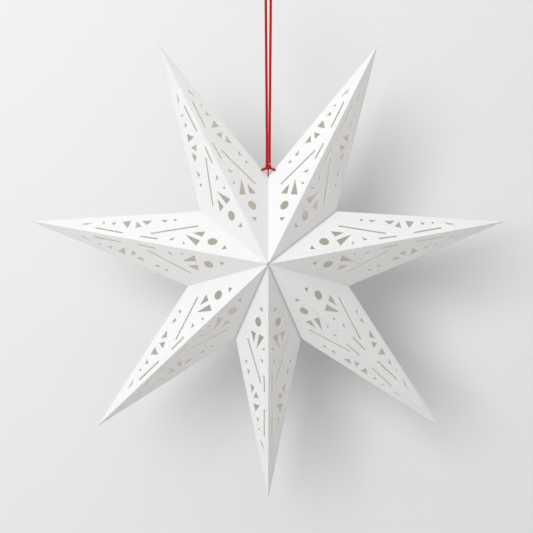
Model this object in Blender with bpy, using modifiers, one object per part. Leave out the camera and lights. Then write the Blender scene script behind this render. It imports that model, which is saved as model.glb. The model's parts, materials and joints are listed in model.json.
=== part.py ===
"""Folding paper snowflake star: 28 card panels hinged along their creases, pierced in front, on a doubled cord.

Metres, +Z up, the star faces -Y. The origin is where a hook bears in the cord's loop.
"""
import math

import bpy
from mathutils import Matrix, Vector

MM = 0.001

# --- star -----------------------------------------------------------------------------------------
POINTS = 7                      # star points, two half points each
TIP_RADIUS = 300 * MM           # axis to tip
VALLEY_RADIUS = 105 * MM        # axis to the corner between two points
APEX_HEIGHT = 70 * MM           # mid-plane to the front and back centres
HALF_WIDE = 26.8                # degrees, half a point, for all but the four lowest half points
NARROW_HALVES = 4               # half points at the bottom, closed up a little by the star's weight
CARD = 0.4 * MM                 # card thickness

# --- fits -----------------------------------------------------------------------------------------
CREASE_GAP = 0.1 * MM           # card face to hinge axis
RIDGE_INSET = 0.75 * MM         # card edge to the ridge line
VALLEY_INSET = 0.3 * MM         # card edge to the valley line
SIDE_INSET = 0.7 * MM           # card edge to the side crease
APEX_CUT = 0.8 * MM             # clipped corner at the centre hole
TIP_CUT = 0.5 * MM              # blunt tip
CORNER_CUT = 0.5 * MM           # clipped corner at a valley
SEAM_CUT = 4.6 * MM             # clipped corner at the top valley, where the cord goes in

# --- cut-outs, millimetres on a wide panel: along the ridge from the centre, then off the ridge -----
TRIANGLES = (
    ((60, 17.5), (62, 10), (56, 12.5)),
    ((112, 23.5), (94, 9), (92.5, 18.5)),
    ((104.5, 29), (92, 25), (90.5, 34.5)),
    ((111.5, 12.5), (110.5, 7), (107.5, 8.5)),
    ((129.5, 11), (124.5, 10.5), (123.5, 16.5)),
    ((150.5, 40), (143.5, 37.5), (142.5, 42.5)),
    ((173, 33.5), (164.5, 28.5), (160.5, 36.5)),
    ((178, 30), (176.5, 19.5), (169.5, 24.5)),
    ((195.5, 26), (186, 17.5), (186, 30)),
    ((208.5, 21), (204, 18), (203, 24.5)),
    ((245, 10), (237.5, 10.7), (230.5, 17)),
)
SLOTS = (((155, 15), (102, 41.5)), ((166, 7.6), (143.5, 8.8)), ((225, 8.2), (188.5, 8.2)))
SLOT_WIDTH = 1.4
ROUND_HOLES = ((76.5, 20, 6.0, 16), (133, 44.7, 2.0, 8), (218, 19, 1.6, 8))   # x, y, radius, sides
PATTERN_LENGTH = 308.0          # ridge length of the panel the cut-outs are drawn on
PATTERN_CORNER = (107.2, 66.6)  # its valley corner

# --- cord -----------------------------------------------------------------------------------------
CORD = 3.0 * MM                 # cord diameter
STRAND_GAP = 0.3 * MM           # between the two strands where they run side by side
LOOP_RADIUS = 6.5 * MM          # loop over the hook, to the cord's centre line
SPREAD = 6.3 * MM               # strand spacing under the loop
PAIRED_TOP = 47 * MM            # the strands run side by side up to here, above the valley
SPREAD_TOP = 226 * MM           # and open to SPREAD here
LOOP_START = 240 * MM           # the loop's arc starts here, above the valley
KNOT_ABOVE = 13 * MM            # knot centre above the top valley
KNOT_RADIUS = 3.5 * MM
KNOT_HEIGHT = 7 * MM
STOPPER_RADIUS = 2.8 * MM
STOPPER_BELOW = 9 * MM          # stopper knot centre below the top valley
TAIL_REACH = 8.2 * MM           # cut end of a tail, out from the cord's line
TAIL_DROP = 2.6 * MM
TAIL_FORWARD = 3 * MM           # the tails stand out to the front, clear of the panel that folds up behind
TAIL_CORD = 2.6 * MM            # the cord pulled thin in its tails
FIT_GAP = 0.3 * MM              # between pieces of cord that touch in life
TAIL_GAP = 0.9 * MM             # knot to a tail's slanting end

HALF_NARROW = (360 - 2 * HALF_WIDE * (POINTS - NARROW_HALVES / 2)) / NARROW_HALVES
CENTRE = Vector((0, 0, -(VALLEY_RADIUS + LOOP_START + LOOP_RADIUS - CORD / 2)))


def clear_scene():
    for obj in list(bpy.data.objects):
        bpy.data.objects.remove(obj, do_unlink=True)


def new_collection(name):
    group = bpy.data.collections.new(name)
    bpy.context.scene.collection.children.link(group)
    return group


def new_material(name, color, roughness):
    mat = bpy.data.materials.new(name)
    mat.use_nodes = True
    shader = mat.node_tree.nodes["Principled BSDF"]
    shader.inputs["Base Color"].default_value = (*color, 1)
    shader.inputs["Roughness"].default_value = roughness
    mat.diffuse_color = (*color, 1)
    return mat


# --- star geometry ----------------------------------------------------------------------------------
def half_angles():
    """Width in degrees of each half point, clockwise from the top seam."""
    wide = (2 * POINTS - NARROW_HALVES) // 2
    return [HALF_WIDE] * wide + [HALF_NARROW] * NARROW_HALVES + [HALF_WIDE] * wide


def around(radius, degrees):
    turn = math.radians(degrees)
    return Vector((radius * math.sin(turn), 0, radius * math.cos(turn)))


def panel_corners(index, side):
    """Centre, tip and valley corner of one panel; side is -1 for the front and 1 for the back."""
    widths = half_angles()
    start = sum(widths[:index])
    end = start + widths[index]
    tip_at, valley_at = (end, start) if index % 2 == 0 else (start, end)
    apex = Vector((0, side * APEX_HEIGHT, 0))
    return CENTRE + apex, CENTRE + around(TIP_RADIUS, tip_at), CENTRE + around(VALLEY_RADIUS, valley_at)


def flat_triangle(index):
    """Tip distance and valley corner of a panel laid flat, ridge along x."""
    apex, tip, valley = panel_corners(index, -1)
    ridge = (tip - apex).normalized()
    along = (valley - apex).dot(ridge)
    return (tip - apex).length, Vector((along, ((valley - apex).length_squared - along ** 2) ** 0.5))


def panel_axes(index, side):
    """Ridge, in-plane and outward directions of a panel, and +1 or -1 for the valley's side."""
    apex, tip, valley = panel_corners(index, side)
    ridge = (tip - apex).normalized()
    normal = ridge.cross(valley - apex).normalized()
    hand = 1 if normal.y * side > 0 else -1
    normal = normal * hand
    return ridge, normal.cross(ridge), normal, hand


def fold_between(first, second):
    """Angle between two panels' outward faces."""
    return panel_axes(*first)[2].angle(panel_axes(*second)[2])


def hinge_offset(index, side):
    """Point on a panel's own hinge axis, in its flat frame (x along the ridge, y to the valley, z out)."""
    length, valley = flat_triangle(index)
    if side == 1:
        return Vector((length, 0, 0))
    if index % 2:                                   # ridge: axis behind the card
        depth = CARD + CREASE_GAP
        spread = depth * math.tan(fold_between((index, -1), (index - 1, -1)) / 2)
        return Vector((0, spread, -depth))
    other = (index - 1) % (2 * POINTS)              # valley: axis in front of the card
    spread = CREASE_GAP * math.tan(fold_between((index, -1), (other, -1)) / 2)
    inward = Vector((valley.y, -valley.x)).normalized() * spread
    return Vector((inward.x, inward.y, CREASE_GAP))


# --- panel outline ----------------------------------------------------------------------------------
def shifted_line(start, end, inset):
    """Start and direction of an edge moved to its left."""
    run = (end - start).normalized()
    return start + Vector((-run.y, run.x)) * inset, run


def crossing(first, second):
    (p, u), (q, v) = first, second
    cross = u.x * v.y - u.y * v.x
    gap = q - p
    return p + u * ((gap.x * v.y - gap.y * v.x) / cross)


def panel_outline(index):
    length, valley = flat_triangle(index)
    apex, tip = Vector((0, 0)), Vector((length, 0))
    edges = [shifted_line(apex, tip, RIDGE_INSET), shifted_line(tip, valley, SIDE_INSET),
             shifted_line(valley, apex, VALLEY_INSET)]
    corners = [crossing(edges[2], edges[0]), crossing(edges[0], edges[1]), crossing(edges[1], edges[2])]
    at_seam = index in (0, 2 * POINTS - 1)
    cuts = [APEX_CUT, TIP_CUT, SEAM_CUT if at_seam else CORNER_CUT]
    outline = []
    for place, corner in enumerate(corners):
        before, after = corners[place - 1], corners[(place + 1) % 3]
        outline.append(corner + (before - corner).normalized() * cuts[place])
        outline.append(corner + (after - corner).normalized() * cuts[place])
    return outline


def slot_outline(start, end):
    start, end = Vector(start), Vector(end)
    run = (end - start).normalized()
    across = Vector((-run.y, run.x)) * SLOT_WIDTH / 2
    return [start + across, start - across, end - across, end + across]


def round_outline(x, y, radius, sides):
    steps = [2 * math.pi * (i + 0.5) / sides for i in range(sides)]
    return [Vector((x + radius * math.cos(a), y + radius * math.sin(a))) for a in steps]


def cut_outs(index):
    """Every cut-out's outline, carried from the drawn panel onto this one corner for corner."""
    shapes = [[Vector(p) for p in tri] for tri in TRIANGLES]
    shapes += [slot_outline(*slot) for slot in SLOTS] + [round_outline(*hole) for hole in ROUND_HOLES]
    length, valley = flat_triangle(index)
    stretch = length / PATTERN_LENGTH
    slant = (valley.x - PATTERN_CORNER[0] * stretch) / PATTERN_CORNER[1]
    widen = valley.y / PATTERN_CORNER[1]
    return [[Vector((p.x * stretch + p.y * slant, p.y * widen)) for p in shape] for shape in shapes]


def panel_mesh(index, side, name):
    """A flat card panel, pierced at the front and plain at the back, its own hinge at the mesh's origin."""
    hand = panel_axes(index, side)[3]
    offset = hinge_offset(index, side)
    shapes = [panel_outline(index)] + (cut_outs(index) if side == -1 else [])
    curve = bpy.data.curves.new(name, "CURVE")
    curve.dimensions = "2D"
    curve.fill_mode = "BOTH"
    curve.extrude = CARD / 2
    for shape in shapes:
        spline = curve.splines.new("POLY")
        spline.points.add(len(shape) - 1)
        for point, place in zip(spline.points, shape):
            point.co = (place.x - offset.x, hand * (place.y - offset.y), 0, 1)
        spline.use_cyclic_u = True
    shaper = bpy.data.objects.new(name + "_shaper", curve)
    bpy.context.scene.collection.objects.link(shaper)
    mesh = bpy.data.meshes.new_from_object(shaper.evaluated_get(bpy.context.evaluated_depsgraph_get()))
    bpy.data.objects.remove(shaper, do_unlink=True)
    mesh.transform(Matrix.Translation((0, 0, -CARD / 2 - offset.z)))
    mesh.name = name
    return mesh


def panel_name(index, side):
    return "point_%d_%s_%s" % (index // 2 + 1, "back" if side == 1 else "front", "right" if index % 2 else "left")


def build_panel(index, side, group, card):
    name = panel_name(index, side)
    obj = bpy.data.objects.new(name, panel_mesh(index, side, name))
    ridge, across, normal, hand = panel_axes(index, side)
    offset = hinge_offset(index, side)
    apex = panel_corners(index, side)[0]
    place = apex + ridge * offset.x + across * hand * offset.y + normal * offset.z
    turn = Matrix((ridge, across, normal)).transposed().to_4x4()
    obj.matrix_world = Matrix.Translation(place) @ turn
    obj.data.materials.clear()
    obj.data.materials.append(card)
    group.objects.link(obj)
    return obj


# --- cord -------------------------------------------------------------------------------------------
def tube(name, path, diameter, group, mat, origin):
    curve = bpy.data.curves.new(name, "CURVE")
    curve.dimensions = "3D"
    curve.bevel_depth = diameter / 2
    curve.bevel_resolution = 2
    curve.use_fill_caps = True
    spline = curve.splines.new("POLY")
    spline.points.add(len(path) - 1)
    for point, place in zip(spline.points, path):
        point.co = (*(place - origin), 1)
    obj = bpy.data.objects.new(name, curve)
    obj.location = origin
    curve.materials.append(mat)
    group.objects.link(obj)
    return obj


def strand_half_gap(height):
    """Half the strands' spacing at a height above the top valley."""
    paired = (CORD + STRAND_GAP) / 2
    if height <= PAIRED_TOP:
        return paired
    if height <= SPREAD_TOP:
        return paired + (SPREAD / 2 - paired) * (height - PAIRED_TOP) / (SPREAD_TOP - PAIRED_TOP)
    part = (height - SPREAD_TOP) / (LOOP_START - SPREAD_TOP)
    ease = part * part * (3 - 2 * part)
    return SPREAD / 2 + (LOOP_RADIUS - SPREAD / 2) * ease


def cord_path():
    """Up one strand, round the hook and down the other."""
    valley = CENTRE + Vector((0, 0, VALLEY_RADIUS))
    low = KNOT_ABOVE + KNOT_HEIGHT / 2 + FIT_GAP
    steps = math.ceil((LOOP_START - low) / (2.6 * CORD))
    heights = [low + (LOOP_START - low) * i / steps for i in range(steps + 1)]
    rising = [valley + Vector((-strand_half_gap(h), 0, h)) for h in heights]
    top = valley + Vector((0, 0, LOOP_START))
    arc = []
    for i in range(1, 12):
        turn = math.pi * i / 12
        arc.append(top + Vector((-LOOP_RADIUS * math.cos(turn), 0, LOOP_RADIUS * math.sin(turn))))
    falling = [Vector((-p.x, p.y, p.z)) for p in reversed(rising)]
    return rising + arc + falling


def turned_knot(name, centre, radius, height, group, mat):
    """A pulled-tight knot as one barrel with two waists, turned about the cord's line."""
    rows = 12
    points = []
    for i in range(rows + 1):
        lift = -math.cos(math.pi * i / rows)
        bulge = (1 - lift ** 4) ** 0.5 if i not in (0, rows) else 0
        wave = 1 - 0.07 * math.cos(3 * math.pi * lift)
        points.append((radius * bulge * wave / 1.07, 0, lift * height / 2))
    mesh = bpy.data.meshes.new(name)
    mesh.from_pydata(points, [(i, i + 1) for i in range(rows)], [])
    obj = bpy.data.objects.new(name, mesh)
    obj.location = centre
    screw = obj.modifiers.new("turn", "SCREW")
    screw.axis = "Z"
    screw.angle = 2 * math.pi
    screw.steps = screw.render_steps = 20
    screw.use_merge_vertices = True
    screw.merge_threshold = 1e-5
    screw.use_normal_calculate = True
    mesh.materials.append(mat)
    group.objects.link(obj)
    return obj


def build_cord(group):
    red = new_material("red_cord", (0.46, 0.006, 0.01), 0.85)
    valley = CENTRE + Vector((0, 0, VALLEY_RADIUS))
    tube("hanging_cord", cord_path(), CORD, group, red, Vector((0, 0, 0)))
    knot = valley + Vector((0, 0, KNOT_ABOVE))
    turned_knot("cord_knot", knot, KNOT_RADIUS, KNOT_HEIGHT, group, red)
    stem_top = knot - Vector((0, 0, KNOT_HEIGHT / 2 + FIT_GAP))
    stopper = valley - Vector((0, 0, STOPPER_BELOW))
    stem_end = stopper + Vector((0, 0, STOPPER_RADIUS + FIT_GAP))
    stem = [stem_top.lerp(stem_end, i / 2) for i in range(3)]
    tube("cord_stem", stem, CORD, group, red, stem_top)
    turned_knot("stopper_knot", stopper, STOPPER_RADIUS, 2 * STOPPER_RADIUS, group, red)
    for word, way in (("left", -1), ("right", 1)):
        start = knot + Vector((way * (KNOT_RADIUS + TAIL_GAP), 0, 0.4 * MM))
        end = knot + Vector((way * TAIL_REACH, -TAIL_FORWARD, -TAIL_DROP))
        tube("cord_tail_" + word, [start, start.lerp(end, 0.5), end], TAIL_CORD, group, red, start)


def main():
    clear_scene()
    star = new_collection("paper_snowflake_star")
    card = new_material("white_card", (0.86, 0.86, 0.85), 0.7)
    for index in range(2 * POINTS):
        build_panel(index, -1, star, card)
        build_panel(index, 1, star, card)
    build_cord(star)


main()
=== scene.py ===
"""Folding paper snowflake star: the finish of its card and cord, its wall, light and camera."""
import json
import math
import random

import bmesh
import bpy
from bpy.props import FloatProperty, FloatVectorProperty, IntProperty, PointerProperty
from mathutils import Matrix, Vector


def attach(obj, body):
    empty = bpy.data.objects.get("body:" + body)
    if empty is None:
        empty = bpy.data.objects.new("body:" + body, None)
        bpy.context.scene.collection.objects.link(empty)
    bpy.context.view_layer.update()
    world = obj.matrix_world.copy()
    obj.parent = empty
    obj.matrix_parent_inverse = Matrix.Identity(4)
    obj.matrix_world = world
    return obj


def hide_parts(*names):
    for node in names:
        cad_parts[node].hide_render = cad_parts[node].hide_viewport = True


bl_info = {
    "name": "Folding paper snowflake star",
    "version": (1, 0, 0),
    "blender": (4, 5, 0),
    "location": "3D View > Sidebar > Paper star",
    "description": "Builds the pierced card, the twisted red cord and the stage of a hanging paper star",
    "category": "Object",
}

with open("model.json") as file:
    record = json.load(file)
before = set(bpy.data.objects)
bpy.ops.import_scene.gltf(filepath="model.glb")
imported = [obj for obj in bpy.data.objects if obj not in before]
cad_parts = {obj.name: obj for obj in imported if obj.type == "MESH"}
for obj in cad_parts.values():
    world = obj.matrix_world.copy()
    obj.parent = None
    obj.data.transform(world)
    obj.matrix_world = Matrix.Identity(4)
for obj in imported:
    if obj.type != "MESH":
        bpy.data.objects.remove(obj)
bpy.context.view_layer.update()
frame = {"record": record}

MM = 0.001
POINTS = 7
HALVES = 2 * POINTS
NARROW_HALVES = 4               # half points at the bottom, closed up by the star's weight

# Cut-outs in millimetres on the drawn panel: along the ridge from the centre, then off the ridge.
TRIANGLES = (
    ((60, 17.5), (62, 10), (56, 12.5)),
    ((112, 23.5), (94, 9), (92.5, 18.5)),
    ((104.5, 29), (92, 25), (90.5, 34.5)),
    ((111.5, 12.5), (110.5, 7), (107.5, 8.5)),
    ((129.5, 11), (124.5, 10.5), (123.5, 16.5)),
    ((150.5, 40), (143.5, 37.5), (142.5, 42.5)),
    ((173, 33.5), (164.5, 28.5), (160.5, 36.5)),
    ((178, 30), (176.5, 19.5), (169.5, 24.5)),
    ((195.5, 26), (186, 17.5), (186, 30)),
    ((208.5, 21), (204, 18), (203, 24.5)),
    ((245, 10), (237.5, 10.7), (230.5, 17)),
)
SLOTS = (((155, 15), (102, 41.5)), ((166, 7.6), (143.5, 8.8)), ((225, 8.2), (188.5, 8.2)))
SLOT_WIDTH = 2.5                # drawn wider than the 1.4 mm cut, which is too thin to show
ROUND_HOLES = ((76.5, 20, 6.0, 48), (133, 44.7, 2.0, 24), (218, 19, 1.6, 24))   # x, y, radius, sides
CUT_GROWTH = 1.08               # triangles drawn larger by this, so that their corners show
DRAWN_LENGTH = 308.0            # ridge length of the drawn panel
DRAWN_CORNER = (107.2, 66.6)    # its valley corner


# --- settings ---------------------------------------------------------------------------------------
def linear(code):
    """A linear colour from an sRGB hex code."""
    parts = [int(code.lstrip("#")[i:i + 2], 16) / 255 for i in (0, 2, 4)]
    return tuple(c / 12.92 if c <= 0.04045 else ((c + 0.055) / 1.055) ** 2.4 for c in parts)


def length(name, description, millimetres):
    return FloatProperty(name=name, description=description, default=millimetres * MM, min=0, precision=5,
                         unit="LENGTH")


def colour(name, description, code):
    return FloatVectorProperty(name=name, description=description, default=linear(code), size=3, min=0, max=1,
                               subtype="COLOR")


class PAPERSTAR_PG_card(bpy.types.PropertyGroup):
    """The folded card"""
    tip_radius: length("Tip radius", "Axis to the tip of a point", 300)
    valley_radius: length("Valley radius", "Axis to the corner between two points", 105)
    apex_height: length("Centre height", "Mid-plane to the front and back centres", 70)
    half_wide: FloatProperty(name="Half point", description="Width in degrees of an upper half point",
                             default=26.8, min=20, max=32)
    thickness: length("Card thickness", "Thickness of the card", 0.4)
    bow: length("Bow", "How far a panel bows between its creases", 0.22)
    centre_cut: length("Centre hole", "Corner clipped off each panel at the centre", 2.0)
    tip_cut: length("Blunt tip", "Corner clipped off each panel at its tip", 0.3)
    seam_cut: length("Cord slit", "Corner clipped off the seam panels where the cord goes in", 1.5)
    white: colour("White face", "Coated outside of the card", "#F5F8FC")
    core: colour("Grey-beige face", "Uncoated inside and cut edges of the card", "#FCF6EC")


class PAPERSTAR_PG_cord(bpy.types.PropertyGroup):
    """The hanging cord"""
    diameter: length("Cord diameter", "Over the three plies", 3.0)
    plies: IntProperty(name="Plies", description="Strands twisted together", default=3, min=2, max=6)
    lay: length("Lay length", "Length of one full turn of a ply", 9.5)
    red: colour("Red", "Dyed cotton", "#99060B")


class PAPERSTAR_PG_stage(bpy.types.PropertyGroup):
    """The wall, the floor, the light and the camera"""
    wall: colour("Wall", "Painted plaster", "#CDCDCD")
    wall_gap: length("Wall gap", "Star's mid-plane to the wall behind it", 160)
    floor_drop: length("Floor drop", "Hanging point to the floor", 2100)
    distance: length("Camera distance", "Camera to the star's centre", 1500)
    elevation: FloatProperty(name="Camera elevation", description="Camera above the star's own axis, degrees",
                             default=3.06, min=-60, max=60)
    lens: FloatProperty(name="Lens", description="Focal length in millimetres", default=81.1, min=10)
    aside: length("Aim aside", "Middle of the view, left of the star's centre", 2.2)
    below: length("Aim below", "Middle of the view, below the star's centre", 6.6)
    window_power: FloatProperty(name="Window light", description="Power of the large soft light", default=90,
                                min=0, unit="POWER")
    bounce_power: FloatProperty(name="Ceiling light", description="Power of the light off the ceiling",
                                default=13, min=0, unit="POWER")
    room_light: FloatProperty(name="Room light", description="Strength of the even light", default=0.59,
                              min=0)


# --- star geometry ----------------------------------------------------------------------------------
EDGE = 0.02 * MM                # a point this near an edge of a sheet lies on it
SHEET_DIVISIONS = 2             # times that each face of a sheet is divided, so that it can bow

# The cord's route, heights above the top valley.
STRAND_GAP = 0.3 * MM           # between the two strands where they run side by side
PAIRED_TOP = 47 * MM            # the strands run side by side up to here
SPREAD = 6.3 * MM               # strand spacing under the loop
SPREAD_TOP = 226 * MM           # reached here
LOOP_START = 240 * MM           # the loop's arc starts here
LOOP_RADIUS = 6.5 * MM          # to the cord's centre line
ROUTE_STEP = 2.6                # diameters between the route's points
ARC_STEPS = 12                  # steps round the loop
FIT_GAP = 0.3 * MM              # between the knot and the strands

# Its knots and ends. Where it is pulled tight the cord is thinner.
OVERLAP = 1 * MM                # how far one stretch of cord runs into the next
KNOT_ABOVE = 13 * MM
KNOT_RADIUS = 3.5 * MM
KNOT_HEIGHT = 7 * MM
KNOT_CORD = 2.3 * MM
KNOT_TURNS = 3.5
KNOT_SAG = 0.3 * MM             # the winding hangs this much lower than the knot's middle
STOPPER_BELOW = 9 * MM
STOPPER_RADIUS = 2.8 * MM
STOPPER_CORD = 1.9 * MM
STOPPER_TURNS = 2.5
STOPPER_SQUEEZE = 0.6 * MM      # wound tighter, clear of the folded panels
STEM_CORD = 1.3 * MM
COIL_STEPS = 28                 # points to a turn of a knot's winding
COIL_START = 0.45               # share of the winding's radius at which it starts,
COIL_OPENS = 14                 # and how fast it opens along its way
COIL_END = 0.3                  # share at which it ends,
COIL_SHUTS = 6                  # and how fast it shuts
TAIL_CORD = 2.9 * MM
TAIL_START = 2.0 * MM           # a tail leaves the knot this far below its middle
TAIL_DROP = 4.5 * MM            # and ends this far below it,
TAIL_REACH = 8.2 * MM           # this far to the side
TAIL_FORWARD = 3 * MM           # and this far in front

# Twist, as shares of the cord's diameter.
PLY_RADIUS = 0.33
PLY_OFFSET = 0.245              # cord's centre line to a ply's
PLY_SIDES = 12
YARNS = 3                       # to a ply
YARN_LAY = 1.6 * MM             # length of one turn of a yarn
CORD_STEP = 0.5 * MM            # between the rings of a ply

# Sizes of the marks on each surface.
CLOUD_SIZE = 26 * MM            # soft clouds in the card's coating
FIBRE_SIZE = 1.1 * MM           # fibre marks, really about 0.1 mm and drawn coarser to show
FLECK_SIZE = 1.8 * MM           # flecks on the bare inside, really about 0.3 mm and drawn coarser to show
FLUFF_SIZE = 0.5 * MM           # loose fibre on the cotton
ROLLER_SIZE = 6 * MM            # stipple that a paint roller leaves on the wall

# Shades of each surface's own colour, and the cord's painted shade and highlight.
CLOUD_SHADE = 0.965             # the white in a cloud of the coating
FLECK_SHADE = 0.88              # the bare inside in a fleck
GROOVE_PAINTED_SHADE = 0.34             # painted shade: the red in the grooves between the plies
PLY_PAINTED_HIGHLIGHT = 1.35                # painted highlight: the red on top of the plies,
PLY_HIGHLIGHT_WHITE = 0.004               # with this much white over it

FACE_GLOW = 0.48                # share of light let through by the coated face
LINER_GLOW = 0.55               # and by the bare inside
SHADED_VALLEYS = (1, 3, 4)       # the valleys after these points get a line of painted shade along the fold
CREASE_SHADE_WIDTH = 3.0 * MM          # on each side of the fold
CREASE_SHADE_LEVEL = 0.74              # the share of the white that is left in its middle

STAGE_REACH = 4.0               # half the wall's width, its top above the hook and the floor's front edge
WINDOW_WAY = Vector((-0.41, -0.86, 0.29))       # from the star towards the window
WINDOW_AWAY = 3.3
WINDOW_SIZE = 1.9
BOUNCE_PLACE = Vector((-0.2, -1.3, 2.2))        # from the star's centre
BOUNCE_SIZE = 2.2


def card_settings():
    return bpy.context.scene.paperstar_card


def cord_settings():
    return bpy.context.scene.paperstar_cord


def top_valley():
    """Where the two seam panels meet, below the cord."""
    return Vector((0, 0, cord_settings().diameter / 2 - LOOP_RADIUS - LOOP_START))


def centre():
    return top_valley() - Vector((0, 0, card_settings().valley_radius))


def half_angles():
    """Width in degrees of each half point, clockwise from the top seam."""
    wide = card_settings().half_wide
    narrow = (360 - wide * (HALVES - NARROW_HALVES)) / NARROW_HALVES
    side = (HALVES - NARROW_HALVES) // 2
    return [wide] * side + [narrow] * NARROW_HALVES + [wide] * side


def around(radius, degrees):
    turn = math.radians(degrees)
    return Vector((radius * math.sin(turn), 0, radius * math.cos(turn)))


def panel_corners(index, side):
    """Centre, tip and valley corner of a panel; side is -1 for the front and 1 for the back."""
    card, widths = card_settings(), half_angles()
    start = sum(widths[:index])
    end = start + widths[index]
    tip_at, valley_at = (end, start) if index % 2 == 0 else (start, end)
    apex = Vector((0, side * card.apex_height, 0))
    return (centre() + apex, centre() + around(card.tip_radius, tip_at),
            centre() + around(card.valley_radius, valley_at))


def panel_axes(index, side):
    """Ridge, towards-the-valley and outward directions of a panel."""
    apex, tip, valley = panel_corners(index, side)
    ridge = (tip - apex).normalized()
    normal = ridge.cross(valley - apex).normalized()
    normal = normal if normal.y * side > 0 else -normal
    towards = (valley - apex) - ridge * (valley - apex).dot(ridge)
    return ridge, towards.normalized(), normal


def panel_name(index, side):
    face = "back" if side == 1 else "front"
    half = "right" if index % 2 else "left"
    return "point_%d_%s_%s" % (index // 2 + 1, face, half)


def body_of_node(node):
    for body, nodes in frame["record"]["behaviour"]["bodies"].items():
        if node in nodes:
            return body
    raise RuntimeError("no body holds " + node)


def flat_triangle(index):
    """Tip distance and valley corner of a panel laid flat, ridge along x."""
    apex, tip, valley = panel_corners(index, -1)
    ridge, towards, _ = panel_axes(index, -1)
    return (tip - apex).length, Vector(((valley - apex).dot(ridge), (valley - apex).dot(towards)))


# --- nodes ------------------------------------------------------------------------------------------
def put(tree, kind, settings=None, **inputs):
    """Adds a node; settings are its properties, inputs its sockets by name or, as _0, by place."""
    node = tree.nodes.new(kind)
    for key, value in (settings or {}).items():
        setattr(node, key, value)
    for key, value in inputs.items():
        socket = node.inputs[int(key[1:])] if key[0] == "_" else node.inputs[key.replace("_", " ")]
        if isinstance(value, bpy.types.NodeSocket):
            tree.links.new(value, socket)
        else:
            socket.default_value = value
    return node


def new_tree(name, sockets):
    """A geometry tree with a geometry input and output and the named inputs."""
    tree = bpy.data.node_groups.new(name, "GeometryNodeTree")
    tree.interface.new_socket("Geometry", in_out="INPUT", socket_type="NodeSocketGeometry")
    for label, kind, default in sockets:
        socket = tree.interface.new_socket(label, in_out="INPUT", socket_type=kind)
        if default is not None:
            socket.default_value = default
    tree.interface.new_socket("Geometry", in_out="OUTPUT", socket_type="NodeSocketGeometry")
    return tree, tree.nodes.new("NodeGroupInput"), tree.nodes.new("NodeGroupOutput")


def run_tree(name, tree, values, points, edges):
    """The mesh that a tree makes from points and edges."""
    base = bpy.data.meshes.new(name)
    base.from_pydata(points, edges, [])
    holder = bpy.data.objects.new(name + "_holder", base)
    bpy.context.scene.collection.objects.link(holder)
    modifier = holder.modifiers.new("tree", "NODES")
    modifier.node_group = tree
    for item in tree.interface.items_tree:
        if item.item_type == "SOCKET" and item.in_out == "INPUT" and item.name in values:
            modifier[item.identifier] = values[item.name]
    mesh = bpy.data.meshes.new_from_object(holder.evaluated_get(bpy.context.evaluated_depsgraph_get()))
    holder.modifiers.remove(modifier)
    bpy.data.objects.remove(holder, do_unlink=True)
    bpy.data.meshes.remove(base)
    if not mesh.polygons:
        raise RuntimeError(name + ": the tree made no faces")
    mesh.name = name
    return mesh


def place_piece(mesh, name, node):
    """An object at the origin that rides on its node's body and stands for that node."""
    piece = bpy.data.objects.new(name, mesh)
    bpy.context.scene.collection.objects.link(piece)
    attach(piece, body_of_node(node))
    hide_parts(node)
    return piece


def new_material(name):
    """A material with nothing in it yet, and its node tree."""
    mat = bpy.data.materials.new(name)
    mat.use_nodes = True
    mat.node_tree.nodes.clear()
    return mat, mat.node_tree


# --- card finish ------------------------------------------------------------------------------------
def coated_white_card(name, colour_value):
    """Coated solid bleached board, calendered and die-cut: matt white, faintly clouded, glowing a little
    where light falls on its far side."""
    mat, tree = new_material(name)
    flat = put(tree, "ShaderNodeUVMap", {"uv_map": "sheet"}).outputs["UV"]
    cloud = put(tree, "ShaderNodeTexNoise", Vector=flat, Scale=1 / CLOUD_SIZE, Detail=3.0, Roughness=0.55)
    fibre = put(tree, "ShaderNodeTexNoise", Vector=flat, Scale=1 / FIBRE_SIZE, Detail=4.0, Roughness=0.65)
    low = tuple(c * CLOUD_SHADE for c in colour_value)
    tint = put(tree, "ShaderNodeMix", {"data_type": "RGBA"}, Factor=cloud.outputs["Fac"], _6=(*low, 1),
               _7=(*colour_value, 1))
    # painted shade: the white darkened along the listed valleys, fading out over the crease shade width
    creases = put(tree, "ShaderNodeUVMap", {"uv_map": "creases"}).outputs["UV"]
    from_valley = put(tree, "ShaderNodeSeparateXYZ", Vector=creases).outputs["Y"]
    crease_shade = put(tree, "ShaderNodeMapRange", {"interpolation_type": "SMOOTHSTEP"}, Value=from_valley,
                 From_Min=0.0, From_Max=CREASE_SHADE_WIDTH, To_Min=CREASE_SHADE_LEVEL, To_Max=1.0)
    shaded = put(tree, "ShaderNodeVectorMath", {"operation": "SCALE"}, _0=tint.outputs[2],
                 Scale=crease_shade.outputs[0])
    height = put(tree, "ShaderNodeMath", {"operation": "MULTIPLY_ADD"}, _0=cloud.outputs["Fac"], _1=3.0,
                 _2=fibre.outputs["Fac"])
    bump = put(tree, "ShaderNodeBump", Strength=0.22, Distance=0.10 * MM, Height=height.outputs[0])
    rough = put(tree, "ShaderNodeMapRange", Value=fibre.outputs["Fac"], To_Min=0.52, To_Max=0.66)
    shader = put(tree, "ShaderNodeBsdfPrincipled", Base_Color=shaded.outputs[0], Roughness=rough.outputs[0],
                 Normal=bump.outputs[0])
    shader.inputs["IOR"].default_value = 1.45
    shader.inputs["Specular IOR Level"].default_value = 0.35
    glow = put(tree, "ShaderNodeBsdfTranslucent", Color=shaded.outputs[0], Normal=bump.outputs[0])
    both = put(tree, "ShaderNodeMixShader", _0=FACE_GLOW, _1=shader.outputs[0], _2=glow.outputs[0])
    put(tree, "ShaderNodeOutputMaterial", Surface=both.outputs[0])
    return mat


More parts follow.
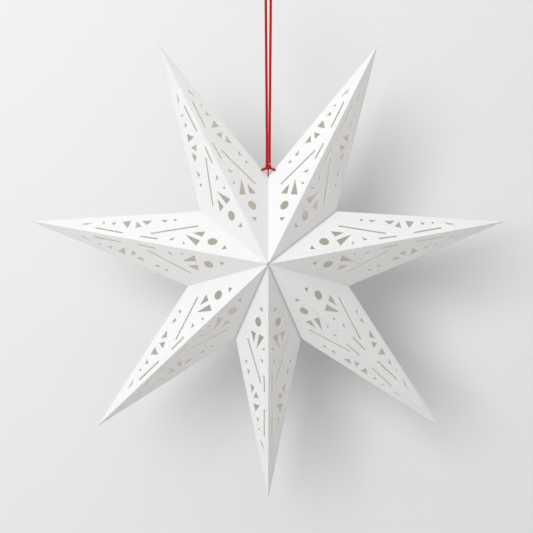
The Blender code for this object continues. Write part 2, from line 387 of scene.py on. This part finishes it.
def grey_beige_liner(name, colour_value):
    """Uncoated inner side of the same board: warm off-white, with darker flecks of fibre. It shows warm
    grey through the cut-outs and on their cut edges, lit by what comes through the card."""
    mat, tree = new_material(name)
    flat = put(tree, "ShaderNodeUVMap", {"uv_map": "sheet"}).outputs["UV"]
    fleck = put(tree, "ShaderNodeTexNoise", Vector=flat, Scale=1 / FLECK_SIZE, Detail=5.0, Roughness=0.7)
    low = tuple(c * FLECK_SHADE for c in colour_value)
    tint = put(tree, "ShaderNodeMix", {"data_type": "RGBA"}, Factor=fleck.outputs["Fac"], _6=(*low, 1),
               _7=(*colour_value, 1))
    bump = put(tree, "ShaderNodeBump", Strength=0.3, Distance=0.08 * MM, Height=fleck.outputs["Fac"])
    shader = put(tree, "ShaderNodeBsdfPrincipled", Base_Color=tint.outputs[2], Normal=bump.outputs[0])
    shader.inputs["Roughness"].default_value = 0.85
    shader.inputs["Specular IOR Level"].default_value = 0.2
    glow = put(tree, "ShaderNodeBsdfTranslucent", Color=tint.outputs[2])
    both = put(tree, "ShaderNodeMixShader", _0=LINER_GLOW, _1=shader.outputs[0], _2=glow.outputs[0])
    put(tree, "ShaderNodeOutputMaterial", Surface=both.outputs[0])
    return mat


# --- pierced panels ---------------------------------------------------------------------------------
def pierced_card_tree():
    """Fills the outline between its cut-outs and gives the sheet its thickness, liner side and cut edges."""
    tree, given, made = new_tree("pierced_card", [
        ("Thickness", "NodeSocketFloat", card_settings().thickness),
        ("Divisions", "NodeSocketInt", SHEET_DIVISIONS),
        ("Face", "NodeSocketMaterial", None), ("Liner", "NodeSocketMaterial", None)])
    loops = put(tree, "GeometryNodeMeshToCurve", Mesh=given.outputs["Geometry"])
    sheet = put(tree, "GeometryNodeFillCurve", Curve=loops.outputs[0])
    fine = put(tree, "GeometryNodeSubdivideMesh", Mesh=sheet.outputs[0], Level=given.outputs["Divisions"])
    down = put(tree, "ShaderNodeVectorMath", {"operation": "SCALE"}, _0=(0, 0, -1),
               Scale=given.outputs["Thickness"])
    walls = put(tree, "GeometryNodeExtrudeMesh", {"mode": "FACES"}, Mesh=fine.outputs[0],
                Offset=down.outputs[0], Individual=False)
    turned = put(tree, "GeometryNodeFlipFaces", Mesh=fine.outputs[0])
    whole = tree.nodes.new("GeometryNodeJoinGeometry")
    tree.links.new(walls.outputs[0], whole.inputs[0])
    tree.links.new(turned.outputs[0], whole.inputs[0])
    welded = put(tree, "GeometryNodeMergeByDistance", Geometry=whole.outputs[0], Distance=0.001 * MM)
    real = put(tree, "GeometryNodeRealizeInstances", Geometry=welded.outputs[0])
    lined = put(tree, "GeometryNodeSetMaterial", Geometry=real.outputs[0], Material=given.outputs["Liner"])
    place = tree.nodes.new("GeometryNodeInputPosition").outputs[0]
    height = put(tree, "ShaderNodeSeparateXYZ", Vector=place).outputs["Z"]
    cut_side = put(tree, "ShaderNodeMath", {"operation": "MULTIPLY"}, _0=given.outputs["Thickness"], _1=-0.25)
    on_face = put(tree, "FunctionNodeCompare", {"operation": "GREATER_THAN"}, _0=height,
                  _1=cut_side.outputs[0])
    faced = put(tree, "GeometryNodeSetMaterial", Geometry=lined.outputs[0], Selection=on_face.outputs[0],
                Material=given.outputs["Face"])
    tree.links.new(faced.outputs[0], made.inputs[0])
    return tree


def slot_outline(start, end):
    start, end = Vector(start), Vector(end)
    run = (end - start).normalized()
    across = Vector((-run.y, run.x)) * SLOT_WIDTH / 2
    return [start + across, start - across, end - across, end + across]


def round_outline(x, y, radius, sides):
    steps = [2 * math.pi * (i + 0.5) / sides for i in range(sides)]
    return [Vector((x + radius * math.cos(a), y + radius * math.sin(a))) for a in steps]


def opened_out(shape):
    """A cut-out grown about its middle: pressed card opens a little along its cuts."""
    middle = sum(shape, Vector((0, 0))) / len(shape)
    return [middle + (p - middle) * CUT_GROWTH for p in shape]


def cut_outs(index):
    """Every cut-out's outline, carried from the drawn panel onto this one corner for corner."""
    shapes = [opened_out([Vector(p) for p in tri]) for tri in TRIANGLES]
    shapes += [slot_outline(*slot) for slot in SLOTS] + [round_outline(*hole) for hole in ROUND_HOLES]
    reach, valley = flat_triangle(index)
    stretch = reach / DRAWN_LENGTH
    slant = (valley.x - DRAWN_CORNER[0] * stretch) / DRAWN_CORNER[1]
    widen = valley.y / DRAWN_CORNER[1]
    return [[Vector((p.x * stretch + p.y * slant, p.y * widen)) for p in shape] for shape in shapes]


def panel_outline(index):
    """The panel's own outline, each corner clipped."""
    card = card_settings()
    reach, valley = flat_triangle(index)
    corners = [Vector((0, 0)), Vector((reach, 0)), valley]
    at_seam = index in (0, HALVES - 1)
    cuts = [card.centre_cut, card.tip_cut, card.seam_cut if at_seam else 0]
    outline = []
    for place, corner in enumerate(corners):
        before, after = corners[place - 1], corners[(place + 1) % 3]
        if not cuts[place]:
            outline.append(corner)
            continue
        outline.append(corner + (before - corner).normalized() * cuts[place])
        outline.append(corner + (after - corner).normalized() * cuts[place])
    return outline


def sheet_outlines(index, side):
    """Points and edges of a flat panel: its outline and, at the front, its cut-outs."""
    points, edges = [], []
    for shape in [panel_outline(index)] + (cut_outs(index) if side == -1 else []):
        first = len(points)
        points += [(p.x, p.y, 0) for p in shape]
        edges += [(first + i, first + (i + 1) % len(shape)) for i in range(len(shape))]
    return points, edges


def crease_slopes(index, side):
    """How far each edge of the card's inner face moves along the sheet, per unit of depth, to meet its
    neighbour: in from the ridge and the side crease, out over the valley."""
    normal = panel_axes(index, side)[2]
    at_valley = (index + (1 if index % 2 else -1)) % HALVES
    angles = [normal.angle(panel_axes(*other)[2]) for other in
              ((index ^ 1, side), (index, -side), (at_valley, side))]
    ridge, crease, valley = [math.tan(angle / 2) for angle in angles]
    return ridge, crease, -valley


def edge_distances(index, place):
    """Distance from the ridge, the side crease and the valley line, and each line's inward direction."""
    reach, valley = flat_triangle(index)
    corners = [Vector((0, 0)), Vector((reach, 0)), valley]
    found = []
    for start, end in zip(corners, corners[1:] + corners[:1]):
        run = (end - start).normalized()
        inward = Vector((-run.y, run.x))
        found.append(((place - start).dot(inward), inward))
    return found


def fold_panel(mesh, index, side):
    """Carries a flat sheet to its place in the star, with its creases mitred and a slight bow."""
    card = card_settings()
    apex = panel_corners(index, side)[0]
    ridge, towards, normal = panel_axes(index, side)
    reach, valley = flat_triangle(index)
    twice_area = reach * valley.y
    heights = (valley.y, twice_area / (valley - Vector((reach, 0))).length, twice_area / valley.length)
    slopes = crease_slopes(index, side)
    bend = random.Random(10 * index + side).uniform(-1, 1) * card.bow
    drift = Vector((0.37 * index, 0.61 * side))     # so that no two panels show the same marks
    sheet = mesh.uv_layers.new(name="sheet")
    creases = mesh.uv_layers.new(name="creases")
    gaps = []
    crease_shade_skip = 0 if (index + 1) // 2 in SHADED_VALLEYS else CREASE_SHADE_WIDTH     # enough to lose the line of painted shade
    flat_places = [vertex.co.copy() for vertex in mesh.vertices]
    for vertex, place in zip(mesh.vertices, flat_places):
        flat = place.xy
        edges = edge_distances(index, flat)
        gaps.append((edges[0][0], edges[2][0] + crease_shade_skip))
        share = 27              # makes it 1 in the middle of the panel
        for (gap, _), height in zip(edges, heights):
            share *= min(max(gap / height, 0), 1)
        moved = flat.copy()
        for (gap, inward), slope in zip(edges, slopes):
            if gap < EDGE:
                moved += inward * slope * -place.z
        lift = place.z + bend * share
        vertex.co = apex + ridge * moved.x + towards * moved.y + normal * lift
    for loop in mesh.loops:
        sheet.data[loop.index].uv = flat_places[loop.vertex_index].xy + drift
        creases.data[loop.index].uv = gaps[loop.vertex_index]
    form = bmesh.new()
    form.from_mesh(mesh)
    if form.calc_volume(signed=True) < 0:
        bmesh.ops.reverse_faces(form, faces=form.faces)
    form.to_mesh(mesh)
    form.free()
    mesh.shade_smooth()
    mesh.set_sharp_from_angle(angle=math.radians(25))


class PAPERSTAR_OT_card(bpy.types.Operator):
    """Folds the pierced front panels and the plain back panels of every point"""
    bl_idname = "paperstar.card"
    bl_label = "Card panels"

    def execute(self, context):
        card = card_settings()
        tree = pierced_card_tree()
        face = coated_white_card("coated_white_card", tuple(card.white))
        liner = grey_beige_liner("grey_beige_liner", tuple(card.core))
        for index in range(HALVES):
            for side in (-1, 1):
                node = panel_name(index, side)
                name = node.replace("point", "card_point")
                points, edges = sheet_outlines(index, side)
                mesh = run_tree(name, tree, {"Thickness": card.thickness, "Divisions": SHEET_DIVISIONS,
                                             "Face": face, "Liner": liner}, points, edges)
                fold_panel(mesh, index, side)
                place_piece(mesh, name, node)
        return {"FINISHED"}


# --- cord -------------------------------------------------------------------------------------------
def twisted_cotton(name, colour_value):
    """Dyed cotton yarn, twisted: dull red with a soft fibre sheen, with painted shade in the grooves between
    the plies and a painted highlight on top of them.
    """
    mat, tree = new_material(name)
    groove_shade_and_highlight = put(tree, "ShaderNodeAttribute", {"attribute_name": "groove_shade_and_highlight"}).outputs["Fac"]
    yarn = put(tree, "ShaderNodeAttribute", {"attribute_name": "yarn"}).outputs["Fac"]
    place = put(tree, "ShaderNodeTexCoord").outputs["Object"]
    fluff = put(tree, "ShaderNodeTexNoise", Vector=place, Scale=1 / FLUFF_SIZE, Detail=3.0, Roughness=0.7)
    # painted shade in the grooves and a painted highlight on the ply tops, mixed by how far each ply faces
    # out
    dark = tuple(c * GROOVE_PAINTED_SHADE for c in colour_value)
    light = tuple(min(1, c * PLY_PAINTED_HIGHLIGHT + PLY_HIGHLIGHT_WHITE) for c in colour_value)
    blend = put(tree, "ShaderNodeMath", {"operation": "MULTIPLY_ADD"}, _0=fluff.outputs["Fac"], _1=0.35,
                _2=groove_shade_and_highlight)
    ramp = put(tree, "ShaderNodeMapRange", Value=blend.outputs[0], From_Min=0.35, From_Max=1.15)
    tint = put(tree, "ShaderNodeMix", {"data_type": "RGBA"}, Factor=ramp.outputs[0], _6=(*dark, 1),
               _7=(*light, 1))
    height = put(tree, "ShaderNodeMath", {"operation": "ADD"}, _0=yarn, _1=fluff.outputs["Fac"])
    bump = put(tree, "ShaderNodeBump", Strength=0.5, Distance=0.12 * MM, Height=height.outputs[0])
    shader = put(tree, "ShaderNodeBsdfPrincipled", Base_Color=tint.outputs[2], Normal=bump.outputs[0])
    shader.inputs["Roughness"].default_value = 0.8
    shader.inputs["Specular IOR Level"].default_value = 0.15
    shader.inputs["Sheen Weight"].default_value = 0.05
    shader.inputs["Sheen Roughness"].default_value = 0.5
    shader.inputs["Sheen Tint"].default_value = (1.0, 0.55, 0.55, 1)
    put(tree, "ShaderNodeOutputMaterial", Surface=shader.outputs[0])
    return mat


def twisted_cord_tree():
    """Lays plies round a path and gives each its yarns."""
    cord = cord_settings()
    tree, given, made = new_tree("twisted_cord", [
        ("Diameter", "NodeSocketFloat", cord.diameter), ("Plies", "NodeSocketInt", cord.plies),
        ("Lay length", "NodeSocketFloat", cord.lay), ("Step", "NodeSocketFloat", CORD_STEP),
        ("Cotton", "NodeSocketMaterial", None)])

    def math_node(operation, *values):
        return put(tree, "ShaderNodeMath", {"operation": operation},
                   **{"_%d" % i: v for i, v in enumerate(values)}).outputs[0]

    path = put(tree, "GeometryNodeMeshToCurve", Mesh=given.outputs["Geometry"])
    fine = put(tree, "GeometryNodeResampleCurve", {"mode": "LENGTH"}, Curve=path.outputs[0],
               Length=given.outputs["Step"])
    copies = put(tree, "GeometryNodeDuplicateElements", {"domain": "SPLINE"}, Geometry=fine.outputs[0],
                 Amount=given.outputs["Plies"])
    along = put(tree, "GeometryNodeSplineParameter").outputs["Length"]
    turns = math_node("DIVIDE", along, given.outputs["Lay length"])
    phase = math_node("DIVIDE", copies.outputs["Duplicate Index"], given.outputs["Plies"])
    angle = math_node("MULTIPLY", math_node("ADD", turns, phase), 2 * math.pi)
    normal = tree.nodes.new("GeometryNodeInputNormal").outputs[0]
    tangent = tree.nodes.new("GeometryNodeInputTangent").outputs[0]
    side = put(tree, "ShaderNodeVectorMath", {"operation": "CROSS_PRODUCT"}, _0=tangent, _1=normal).outputs[0]
    ply_radius = math_node("MULTIPLY", given.outputs["Diameter"], PLY_RADIUS)
    offset_radius = math_node("MULTIPLY", given.outputs["Diameter"], PLY_OFFSET)
    across = put(tree, "ShaderNodeVectorMath", {"operation": "SCALE"}, _0=normal,
                 Scale=math_node("MULTIPLY", math_node("COSINE", angle), offset_radius)).outputs[0]
    aside = put(tree, "ShaderNodeVectorMath", {"operation": "SCALE"}, _0=side,
                Scale=math_node("MULTIPLY", math_node("SINE", angle), offset_radius)).outputs[0]
    shift = put(tree, "ShaderNodeVectorMath", {"operation": "ADD"}, _0=across, _1=aside).outputs[0]
    outward = put(tree, "ShaderNodeVectorMath", {"operation": "NORMALIZE"}, _0=shift).outputs[0]
    kept = put(tree, "GeometryNodeCaptureAttribute", {"domain": "POINT"}, Geometry=copies.outputs[0])
    kept.capture_items.new("VECTOR", "Outward")
    kept.capture_items.new("FLOAT", "Along")
    tree.links.new(outward, kept.inputs[1])
    tree.links.new(along, kept.inputs[2])
    laid = put(tree, "GeometryNodeSetPosition", Geometry=kept.outputs[0], Offset=shift)
    ring = put(tree, "GeometryNodeCurvePrimitiveCircle", Resolution=PLY_SIDES, Radius=ply_radius)
    turn = put(tree, "GeometryNodeSplineParameter").outputs["Factor"]
    ring_kept = put(tree, "GeometryNodeCaptureAttribute", {"domain": "POINT"}, Geometry=ring.outputs[0])
    ring_kept.capture_items.new("FLOAT", "Turn")
    tree.links.new(turn, ring_kept.inputs[1])
    plies = put(tree, "GeometryNodeCurveToMesh", Curve=laid.outputs[0], Profile_Curve=ring_kept.outputs[0],
                Fill_Caps=True)
    # how far each ply faces out from the cord, stored as the mask for the painted groove shade and ply
    # highlight
    face_normal = tree.nodes.new("GeometryNodeInputNormal").outputs[0]
    facing = put(tree, "ShaderNodeVectorMath", {"operation": "DOT_PRODUCT"}, _0=face_normal,
                 _1=kept.outputs[1]).outputs["Value"]
    groove_shade_and_highlight = put(tree, "ShaderNodeMapRange", Value=facing, From_Min=-0.5, From_Max=0.9).outputs[0]
    yarn_turns = math_node("ADD", math_node("MULTIPLY", ring_kept.outputs[1], YARNS),
                           math_node("DIVIDE", kept.outputs[2], YARN_LAY))
    wave = math_node("SINE", math_node("MULTIPLY", yarn_turns, 2 * math.pi))
    yarn = math_node("MULTIPLY_ADD", wave, 0.5, 0.5)
    grooved = put(tree, "GeometryNodeStoreNamedAttribute", {"data_type": "FLOAT", "domain": "POINT"},
                  Geometry=plies.outputs[0], Name="groove_shade_and_highlight", Value=groove_shade_and_highlight)
    yarned = put(tree, "GeometryNodeStoreNamedAttribute", {"data_type": "FLOAT", "domain": "POINT"},
                 Geometry=grooved.outputs[0], Name="yarn", Value=yarn)
    real = put(tree, "GeometryNodeRealizeInstances", Geometry=yarned.outputs[0])
    dyed = put(tree, "GeometryNodeSetMaterial", Geometry=real.outputs[0], Material=given.outputs["Cotton"])
    tree.links.new(dyed.outputs[0], made.inputs[0])
    return tree


def strand_half_gap(height):
    """Half the strands' spacing at a height above the top valley."""
    paired = (cord_settings().diameter + STRAND_GAP) / 2
    if height <= PAIRED_TOP:
        return paired
    if height <= SPREAD_TOP:
        return paired + (SPREAD / 2 - paired) * (height - PAIRED_TOP) / (SPREAD_TOP - PAIRED_TOP)
    part = (height - SPREAD_TOP) / (LOOP_START - SPREAD_TOP)
    ease = part * part * (3 - 2 * part)
    return SPREAD / 2 + (LOOP_RADIUS - SPREAD / 2) * ease


def cord_path():
    """Up one strand, round the hook and down the other."""
    valley = top_valley()
    low = KNOT_ABOVE + KNOT_HEIGHT / 2 + FIT_GAP
    steps = math.ceil((LOOP_START - low) / (ROUTE_STEP * cord_settings().diameter))
    heights = [low + (LOOP_START - low) * i / steps for i in range(steps + 1)]
    rising = [valley + Vector((-strand_half_gap(h), 0, h)) for h in heights]
    top = valley + Vector((0, 0, LOOP_START))
    arc = []
    for i in range(1, ARC_STEPS):
        turn = math.pi * i / ARC_STEPS
        arc.append(top + Vector((-LOOP_RADIUS * math.cos(turn), 0, LOOP_RADIUS * math.sin(turn))))
    falling = [Vector((-p.x, p.y, p.z)) for p in reversed(rising)]
    return rising + arc + falling


def twisted(name, node, path, diameter, tree, cotton):
    """A length of the cord along a path, in its node's place."""
    cord = cord_settings()
    mesh = run_tree(name, tree, {"Diameter": diameter, "Plies": cord.plies, "Lay length": cord.lay,
                                 "Step": CORD_STEP, "Cotton": cotton},
                    [tuple(p) for p in path], [(i, i + 1) for i in range(len(path) - 1)])
    mesh.shade_smooth()
    return place_piece(mesh, name, node)


def straight_path(start, end, steps):
    return [start.lerp(end, i / steps) for i in range(steps + 1)]


def coil_path(middle, radius, height, turns):
    """A tight winding round the upright line through middle, its ends tucked in."""
    path = []
    steps = turns * COIL_STEPS
    for i in range(int(steps) + 1):
        part = i / steps
        reach = radius * min(1, COIL_START + COIL_OPENS * part, COIL_END + COIL_SHUTS * (1 - part))
        turn = 2 * math.pi * turns * part + math.pi / 2
        path.append(middle + Vector((reach * math.cos(turn), reach * math.sin(turn), height * (part - 0.5))))
    return path


class PAPERSTAR_OT_cord(bpy.types.Operator):
    """Lays the doubled cord, its knots, its tails and the stem that goes into the star"""
    bl_idname = "paperstar.cord"
    bl_label = "Cord and knots"

    def execute(self, context):
        cord = cord_settings()
        tree = twisted_cord_tree()
        cotton = twisted_cotton("twisted_red_cotton", tuple(cord.red))
        valley = top_valley()
        knot = valley + Vector((0, 0, KNOT_ABOVE))
        stopper = valley - Vector((0, 0, STOPPER_BELOW))
        winding = coil_path(knot - Vector((0, 0, KNOT_SAG)), KNOT_RADIUS - KNOT_CORD / 2,
                            KNOT_CORD / 2 - KNOT_HEIGHT, KNOT_TURNS)
        others = [twisted("knot_of_cord", "cord_knot", winding, KNOT_CORD, tree, cotton)]
        winding = coil_path(stopper, STOPPER_RADIUS - STOPPER_CORD / 2 - STOPPER_SQUEEZE,
                            2 * STOPPER_RADIUS - STOPPER_CORD - 2 * STOPPER_SQUEEZE, STOPPER_TURNS)
        others.append(twisted("stopper_inside", "stopper_knot", winding, STOPPER_CORD, tree, cotton))
        stem = straight_path(knot - Vector((0, 0, KNOT_HEIGHT / 2 - OVERLAP)),
                             stopper + Vector((0, 0, STOPPER_RADIUS - OVERLAP)), 8)
        others.append(twisted("stem_of_cord", "cord_stem", stem, STEM_CORD, tree, cotton))
        for word, way in (("left", -1), ("right", 1)):
            tail = straight_path(knot + Vector((way * (KNOT_RADIUS - OVERLAP), 0, -TAIL_START)),
                                 knot + Vector((way * TAIL_REACH, -TAIL_FORWARD, -TAIL_DROP)), 6)
            others.append(twisted("tail_" + word, "cord_tail_" + word, tail, TAIL_CORD, tree, cotton))
        path = cord_path()
        strand = twisted("doubled_cord", "hanging_cord", path, cord.diameter, tree, cotton)
        return {"FINISHED"}


# --- stage ------------------------------------------------------------------------------------------
def painted_plaster(name, colour_value):
    """Emulsion-painted plaster: off-white, matt, faintly rolled. Its back lets the view through."""
    mat, tree = new_material(name)
    place = put(tree, "ShaderNodeTexCoord").outputs["Object"]
    roller = put(tree, "ShaderNodeTexNoise", Vector=place, Scale=1 / ROLLER_SIZE, Detail=3.0)
    bump = put(tree, "ShaderNodeBump", Strength=0.08, Distance=0.2 * MM, Height=roller.outputs["Fac"])
    shader = put(tree, "ShaderNodeBsdfPrincipled", Base_Color=(*colour_value, 1), Normal=bump.outputs[0])
    shader.inputs["Roughness"].default_value = 0.9
    clear = tree.nodes.new("ShaderNodeBsdfTransparent")
    back = tree.nodes.new("ShaderNodeNewGeometry").outputs["Backfacing"]
    both = put(tree, "ShaderNodeMixShader", _0=back, _1=shader.outputs[0], _2=clear.outputs[0])
    put(tree, "ShaderNodeOutputMaterial", Surface=both.outputs[0])
    return mat


def stage_sheet(name, corners, mat):
    """A flat face that belongs to the stage and not to the star."""
    mesh = bpy.data.meshes.new(name)
    mesh.from_pydata(corners, [], [(0, 1, 2, 3)])
    mesh.materials.append(mat)
    sheet = bpy.data.objects.new(name, mesh)
    bpy.context.scene.collection.objects.link(sheet)


def area_light(name, place, aim, size, power):
    """A round soft white light at a place, turned to its aim."""
    data = bpy.data.lights.new(name, "AREA")
    data.shape = "DISK"
    data.size = size
    data.energy = power
    lamp = bpy.data.objects.new(name, data)
    lamp.location = place
    lamp.rotation_euler = (aim - place).to_track_quat("-Z", "Y").to_euler()
    bpy.context.scene.collection.objects.link(lamp)


class PAPERSTAR_OT_stage(bpy.types.Operator):
    """Sets the wall, the floor, the soft light and the camera"""
    bl_idname = "paperstar.stage"
    bl_label = "Wall, light and camera"

    def execute(self, context):
        stage = context.scene.paperstar_stage
        plaster = painted_plaster("painted_plaster", tuple(stage.wall))
        gap, drop, reach = stage.wall_gap, -stage.floor_drop, STAGE_REACH
        stage_sheet("wall", [(-reach, gap, drop), (reach, gap, drop), (reach, gap, reach),
                             (-reach, gap, reach)], plaster)
        stage_sheet("floor", [(-reach, -reach, drop), (reach, -reach, drop), (reach, gap, drop),
                              (-reach, gap, drop)], plaster)
        middle = centre()
        area_light("window_light", middle + WINDOW_WAY * WINDOW_AWAY, middle, WINDOW_SIZE, stage.window_power)
        area_light("ceiling_bounce", middle + BOUNCE_PLACE, middle, BOUNCE_SIZE, stage.bounce_power)
        world = bpy.data.worlds.new("pale_room")
        world.use_nodes = True
        background = world.node_tree.nodes["Background"]
        background.inputs["Color"].default_value = (1, 1, 1, 1)
        background.inputs["Strength"].default_value = stage.room_light
        context.scene.world = world
        context.scene.view_settings.view_transform = "Standard"
        data = bpy.data.cameras.new("camera")
        data.lens = stage.lens
        camera = bpy.data.objects.new("camera", data)
        rise = math.radians(stage.elevation)
        back = Vector((0, -math.cos(rise), math.sin(rise)))
        up = Vector((0, math.sin(rise), math.cos(rise)))
        aim = middle - Vector((stage.aside, 0, 0)) - up * stage.below
        camera.location = aim + back * stage.distance
        camera.rotation_euler = (-back).to_track_quat("-Z", "Y").to_euler()
        context.scene.collection.objects.link(camera)
        context.scene.camera = camera
        return {"FINISHED"}


# --- add-on -----------------------------------------------------------------------------------------
class PAPERSTAR_PT_sidebar(bpy.types.Panel):
    """The star's settings and steps"""
    bl_label = "Paper star"
    bl_idname = "PAPERSTAR_PT_sidebar"
    bl_space_type = "VIEW_3D"
    bl_region_type = "UI"
    bl_category = "Paper star"

    def draw(self, context):
        for name in SETTINGS:
            settings = getattr(context.scene, name)
            box = self.layout.box()
            for value in settings.bl_rna.properties.keys():
                if value not in ("rna_type", "name"):
                    box.prop(settings, value)
        for step in STEPS:
            self.layout.operator(step.bl_idname)


SETTINGS = {"paperstar_card": PAPERSTAR_PG_card, "paperstar_cord": PAPERSTAR_PG_cord,
            "paperstar_stage": PAPERSTAR_PG_stage}
STEPS = (PAPERSTAR_OT_card, PAPERSTAR_OT_cord, PAPERSTAR_OT_stage)


def register():
    for kind in (*SETTINGS.values(), *STEPS, PAPERSTAR_PT_sidebar):
        bpy.utils.register_class(kind)
    for name, kind in SETTINGS.items():
        setattr(bpy.types.Scene, name, PointerProperty(type=kind))


def unregister():
    for name in SETTINGS:
        delattr(bpy.types.Scene, name)
    for kind in reversed((*SETTINGS.values(), *STEPS, PAPERSTAR_PT_sidebar)):
        bpy.utils.unregister_class(kind)


def main():
    register()
    bpy.ops.paperstar.card()
    bpy.ops.paperstar.cord()
    bpy.ops.paperstar.stage()


if __name__ == "__main__":
    main()
